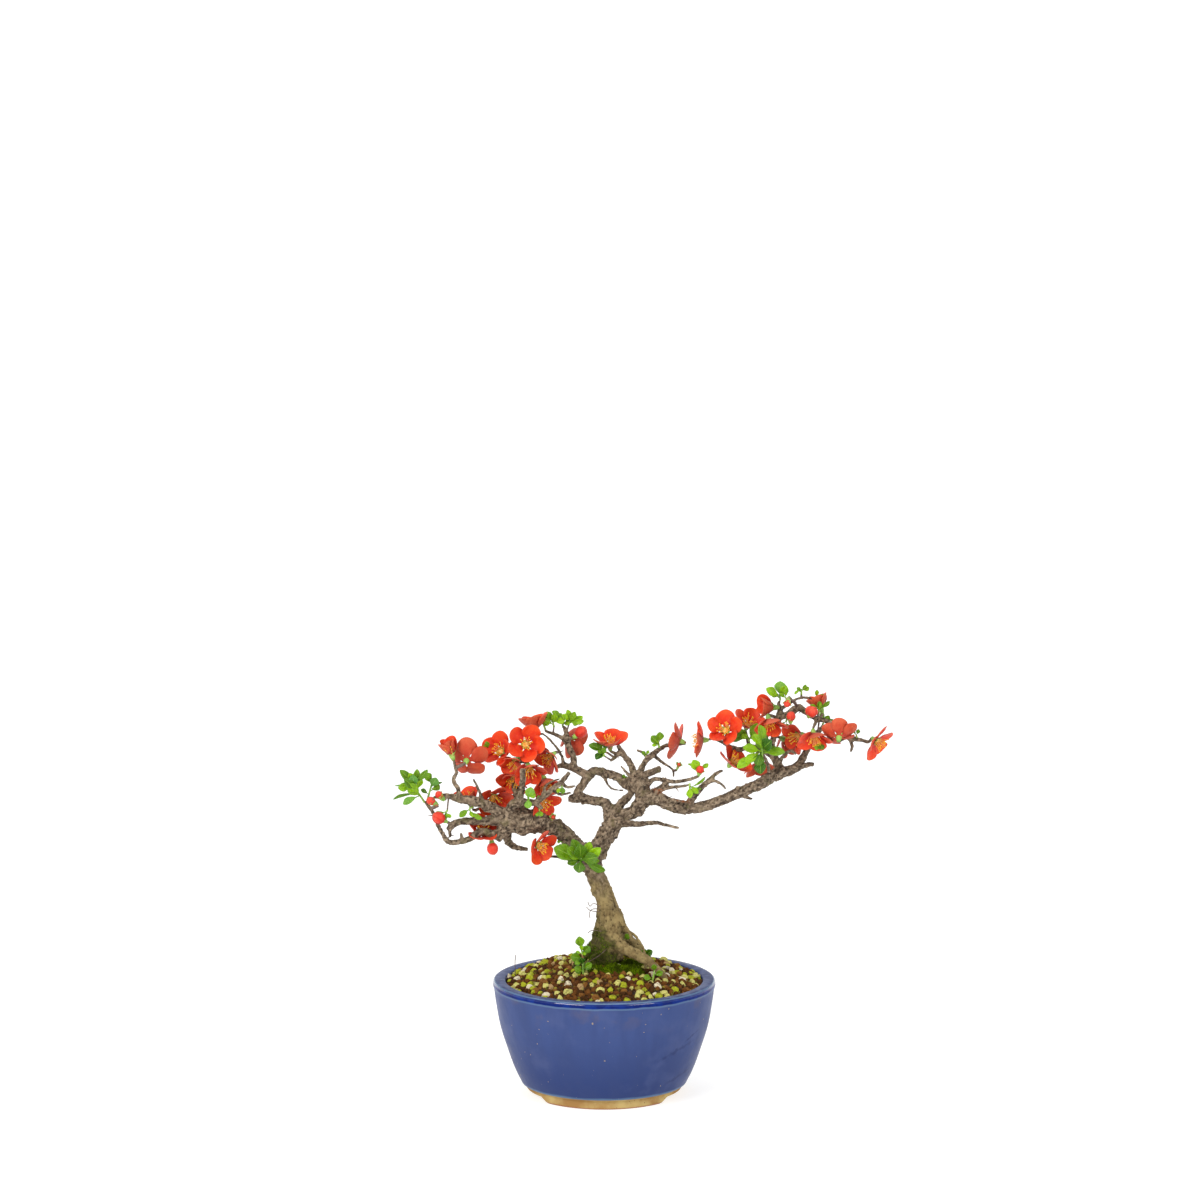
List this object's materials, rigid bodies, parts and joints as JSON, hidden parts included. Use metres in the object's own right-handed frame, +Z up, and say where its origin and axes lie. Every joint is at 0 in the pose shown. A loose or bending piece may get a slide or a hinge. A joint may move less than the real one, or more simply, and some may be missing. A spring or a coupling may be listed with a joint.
{
  "type": "flowering quince bonsai",
  "caption": "Small flowering quince grown as a bonsai, with wide crooked branches, open orange-red blooms and young leaves, in a round blue glazed pot on a low foot.",
  "frame": {"origin": "middle of the whole plant's width and depth, on the surface that the pot's foot stands on", "axes": "+Z up; +X along the widest spread of the branches, to the right in the picture; +Y away from the side that the picture shows"},
  "size_m": [0.332, 0.15, 0.2775],
  "materials": {
    "glaze": "glossy blue glaze over stoneware, bare on the foot",
    "plastic": "matt black moulded mesh",
    "bark": "rough grey-brown bark with pale lichen",
    "petal": "thin satin petals",
    "stamen": "powdery yellow anthers on pale filaments",
    "bud": "satin closed petals",
    "leaf": "young leaves, semi-gloss above",
    "soil": "coarse brown baked-clay grit with pale pumice"
  },
  "bodies": {
    "root": {"pot": "glaze", "drain_mesh": "plastic", "tree": "bark", "soil": "soil", "bloom_01": "petal", "bloom_02": "petal", "bloom_03": "petal", "bloom_03_stamens": "stamen", "bloom_04": "petal", "bloom_05": "petal", "bloom_06": "petal", "bloom_07": "petal", "bloom_08": "petal", "bloom_09": "petal", "bloom_10": "petal", "bloom_11": "petal", "bloom_12": "petal", "bloom_12_stamens": "stamen", "bloom_13": "petal", "bloom_14": "petal", "bloom_15": "petal", "bloom_15_stamens": "stamen", "bloom_16": "petal", "bloom_17": "petal", "bloom_18": "petal", "bloom_19": "petal", "bloom_20": "petal", "bloom_21": "petal", "bloom_22": "petal", "bloom_23": "petal", "bloom_24": "petal", "bloom_25": "petal", "bloom_26": "petal", "bloom_27": "petal", "bloom_28": "petal", "bloom_29": "petal", "bud_01": "bud", "bud_02": "bud", "bud_03": "bud", "bud_04": "bud", "bud_05": "bud", "bud_06": "bud", "leaves_01": "leaf", "leaves_02": "leaf", "leaves_03": "leaf", "leaves_04": "leaf", "leaves_05": "leaf", "leaves_06": "leaf", "leaves_07": "leaf", "leaves_08": "leaf", "leaves_09": "leaf", "leaves_10": "leaf", "leaves_11": "leaf", "leaves_12": "leaf", "leaves_13": "leaf", "leaves_14": "leaf", "leaves_15": "leaf", "leaves_16": "leaf", "weed_01": "leaf", "weed_02": "leaf"}
  },
  "joints": []
}
